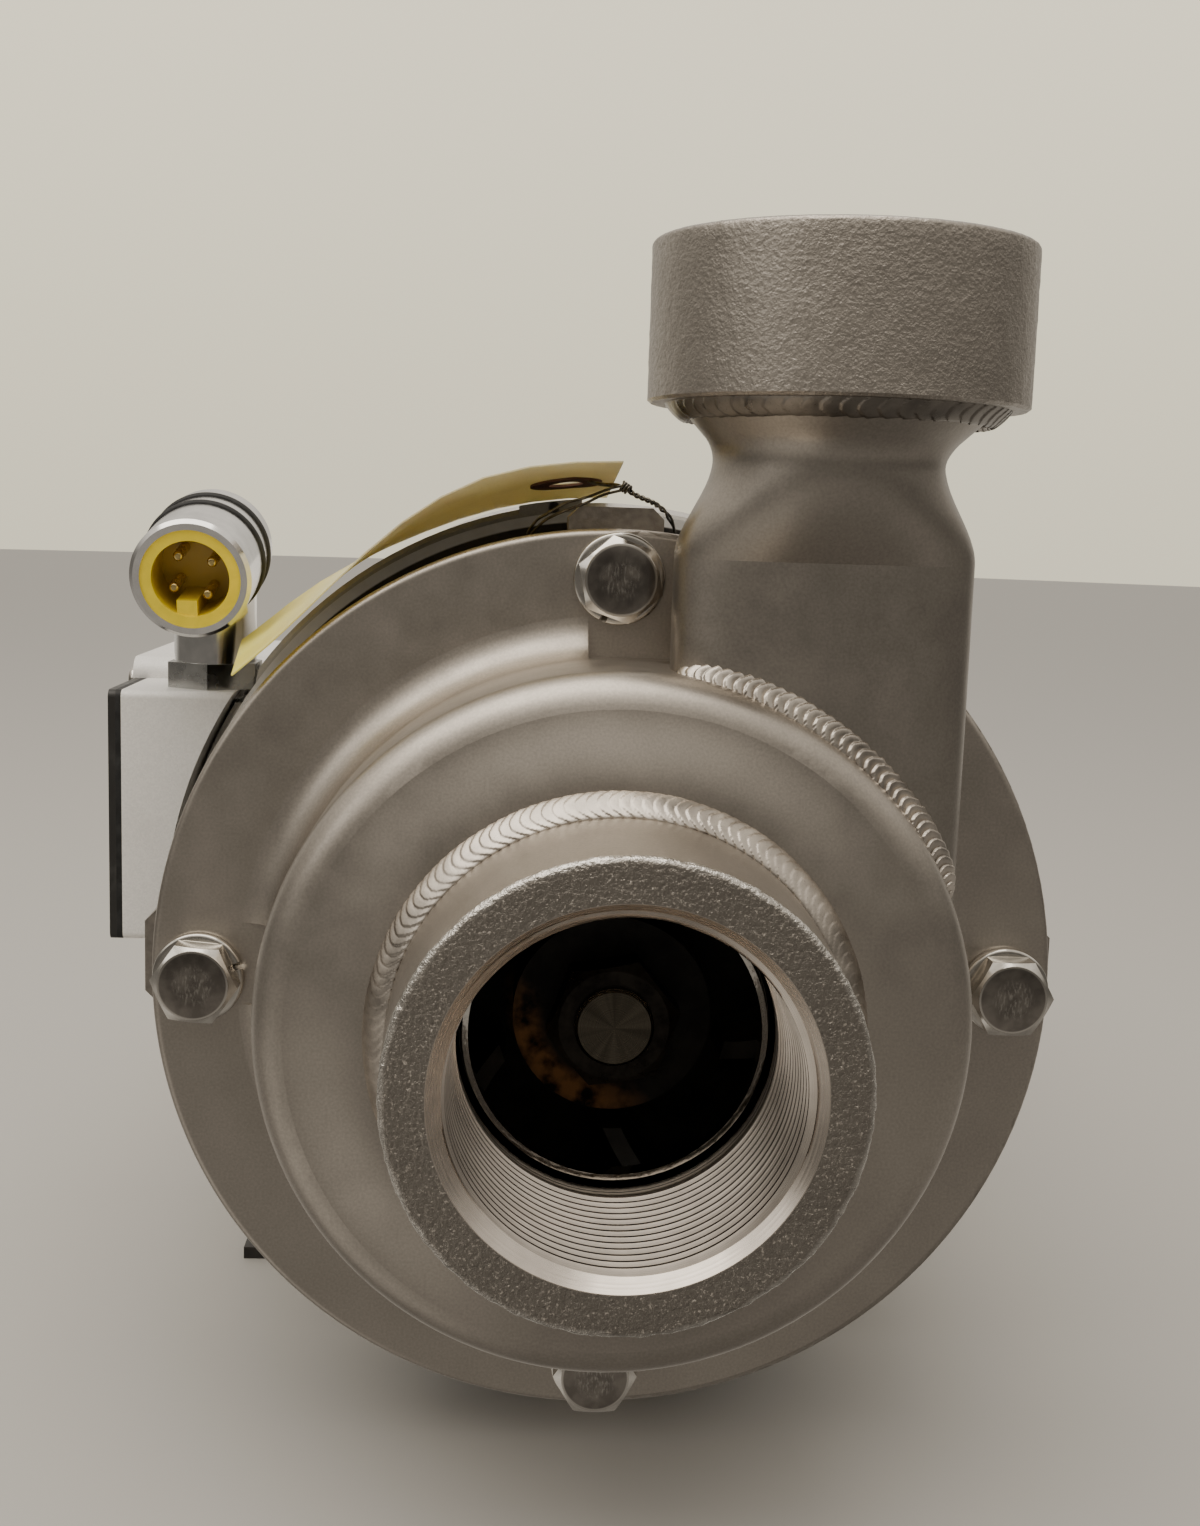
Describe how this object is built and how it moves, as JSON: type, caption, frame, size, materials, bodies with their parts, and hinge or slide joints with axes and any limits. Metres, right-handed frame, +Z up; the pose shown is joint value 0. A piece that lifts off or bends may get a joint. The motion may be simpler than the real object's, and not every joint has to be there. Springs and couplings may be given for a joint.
{
  "type": "centrifugal pump",
  "caption": "Close-coupled centrifugal pump with a drawn casing, axial threaded suction, upright threaded discharge, foot-mounted motor, junction box and elbow connector.",
  "frame": {"origin": "centre of the foot slot pattern, on the standing surface", "axes": "+Z up, -Y out of the suction port along the pump axis, +X to the discharge side"},
  "size_m": [0.201, 0.36, 0.2323],
  "materials": {
    "stainless": "bead-blasted satin",
    "weld": "rippled weld metal",
    "cast_stainless": "rough cast",
    "bolt_chrome": "bright",
    "gasket": "matt black",
    "adapter_paint": "dark painted",
    "impeller_steel": "cast, machined eye",
    "steel": "ground",
    "cage": "pressed",
    "ceramic": "lapped ceramic",
    "carbon": "carbon",
    "lamination": "stacked steel sheet",
    "copper": "enamelled copper",
    "motor_paint": "silver grey paint",
    "cover_black": "black",
    "fan_plastic": "moulded",
    "plated": "satin plated",
    "yellow_plastic": "moulded",
    "pin_brass": "plated",
    "card": "card",
    "eyelet": "fibre",
    "wire": "soft wire"
  },
  "bodies": {
    "pump_body": {"casing": "stainless", "discharge_neck": "stainless", "seal_plate": "stainless", "suction_weld": "weld", "neck_weld": "weld", "discharge_weld": "weld", "suction_fitting": "cast_stainless", "discharge_fitting": "cast_stainless", "casing_bolts": "bolt_chrome", "casing_lock_washers": "bolt_chrome", "adapter_bolts": "bolt_chrome", "through_bolts": "bolt_chrome", "fan_cover_screws": "bolt_chrome", "junction_cover_screws": "bolt_chrome", "terminal_cover_screws": "bolt_chrome", "preload_washer": "bolt_chrome", "casing_gasket": "gasket", "junction_gasket": "gasket", "seal_cup": "gasket", "connector_o_rings": "gasket", "adapter": "adapter_paint", "mounting_base": "adapter_paint", "front_bearing_outer_race": "steel", "rear_bearing_outer_race": "steel", "seal_seat": "ceramic", "stator_core": "lamination", "stator_windings": "copper", "motor_frame": "motor_paint", "front_end_bell": "motor_paint", "rear_end_bell": "motor_paint", "fan_cover": "motor_paint", "terminal_box": "motor_paint", "terminal_cover": "motor_paint", "junction_box": "motor_paint", "junction_cover": "cover_black", "connector_body": "plated", "connector_nut": "plated", "box_nipple": "plated", "connector_insert": "yellow_plastic", "connector_pins": "pin_brass", "hang_tag": "card", "tag_eyelet": "eyelet", "tag_wire": "wire"},
    "rotor": {"motor_shaft": "steel", "impeller": "impeller_steel", "impeller_nut": "bolt_chrome", "impeller_key": "steel", "seal_face": "carbon", "seal_retainer": "bolt_chrome", "seal_bellows": "gasket", "shaft_slinger": "gasket", "rotor_core": "lamination", "front_bearing_inner_race": "steel", "rear_bearing_inner_race": "steel", "cooling_fan": "fan_plastic"},
    "front_ball_set": {"front_bearing_balls": "steel", "front_bearing_cage": "cage"},
    "rear_ball_set": {"rear_bearing_balls": "steel", "rear_bearing_cage": "cage"}
  },
  "joints": [
    {"name": "shaft_spin", "type": "hinge", "parent": "pump_body", "child": "rotor", "pos_m": [0, -0.04, 0.09525], "axis": [0, 1, 0], "continuous": true},
    {"name": "front_ball_spin", "type": "hinge", "parent": "pump_body", "child": "front_ball_set", "pos_m": [0, -0.0765, 0.09525], "axis": [0, 1, 0], "continuous": true},
    {"name": "rear_ball_spin", "type": "hinge", "parent": "pump_body", "child": "rear_ball_set", "pos_m": [0, 0.096, 0.09525], "axis": [0, 1, 0], "continuous": true}
  ],
  "couplings": [
    {"joint": "front_ball_spin", "follows": "shaft_spin", "ratio": 0.3987},
    {"joint": "rear_ball_spin", "follows": "shaft_spin", "ratio": 0.3842}
  ]
}
